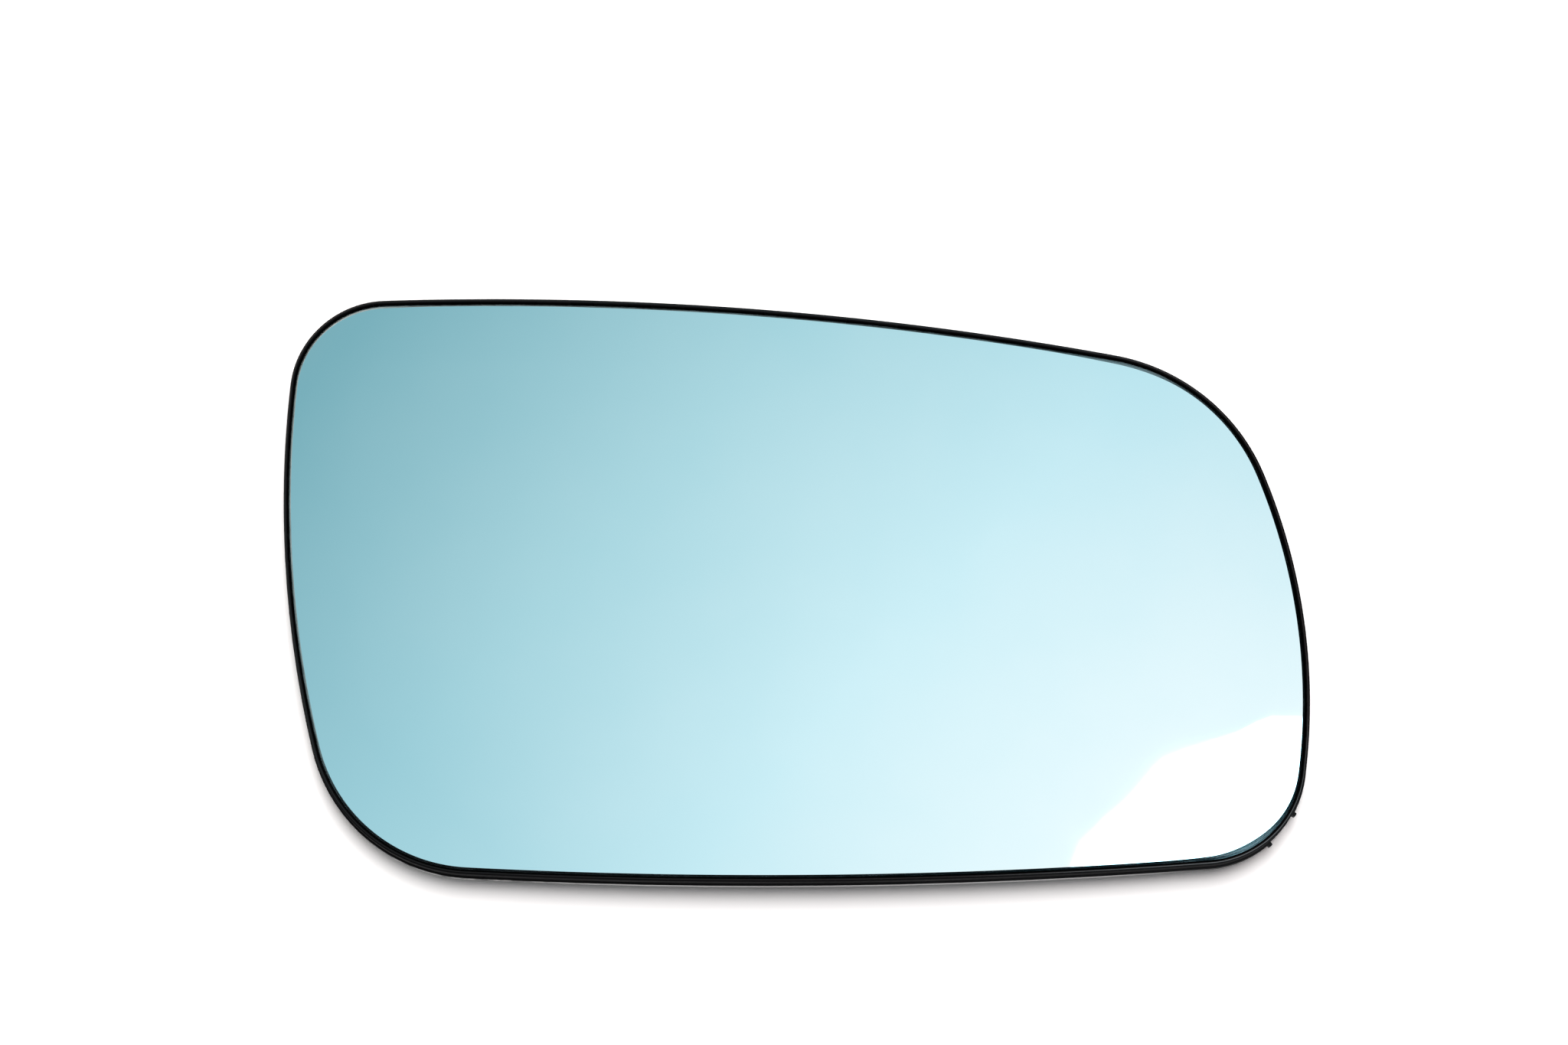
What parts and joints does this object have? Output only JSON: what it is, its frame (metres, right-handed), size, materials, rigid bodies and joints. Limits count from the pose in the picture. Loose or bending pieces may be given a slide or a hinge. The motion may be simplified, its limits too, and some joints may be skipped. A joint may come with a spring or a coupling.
{
  "type": "car door mirror glass",
  "caption": "Convex blue-tinted mirror glass bonded to a black moulded backing plate with a rim lip, ribs and a snap collar that clips onto the adjuster of a car door mirror.",
  "frame": {"origin": "on the axis of the clip collar, in the plane of the finger ends that the part rests on", "axes": "+Z out of the mirror along the collar axis, +X outboard along the long side, +Y up as fitted"},
  "size_m": [0.1758, 0.1024, 0.0129],
  "materials": {
    "plate_plastic": "fine moulded black, semi-gloss on the rim",
    "foil": "printed carbon film, dark grey",
    "terminal": "tinned",
    "mirror": "blue first-surface look, ground edge"
  },
  "bodies": {
    "root": {"backing_plate": "plate_plastic", "heater_foil": "foil", "heater_terminal_lower": "terminal", "heater_terminal_upper": "terminal", "mirror_glass": "mirror"}
  },
  "joints": []
}
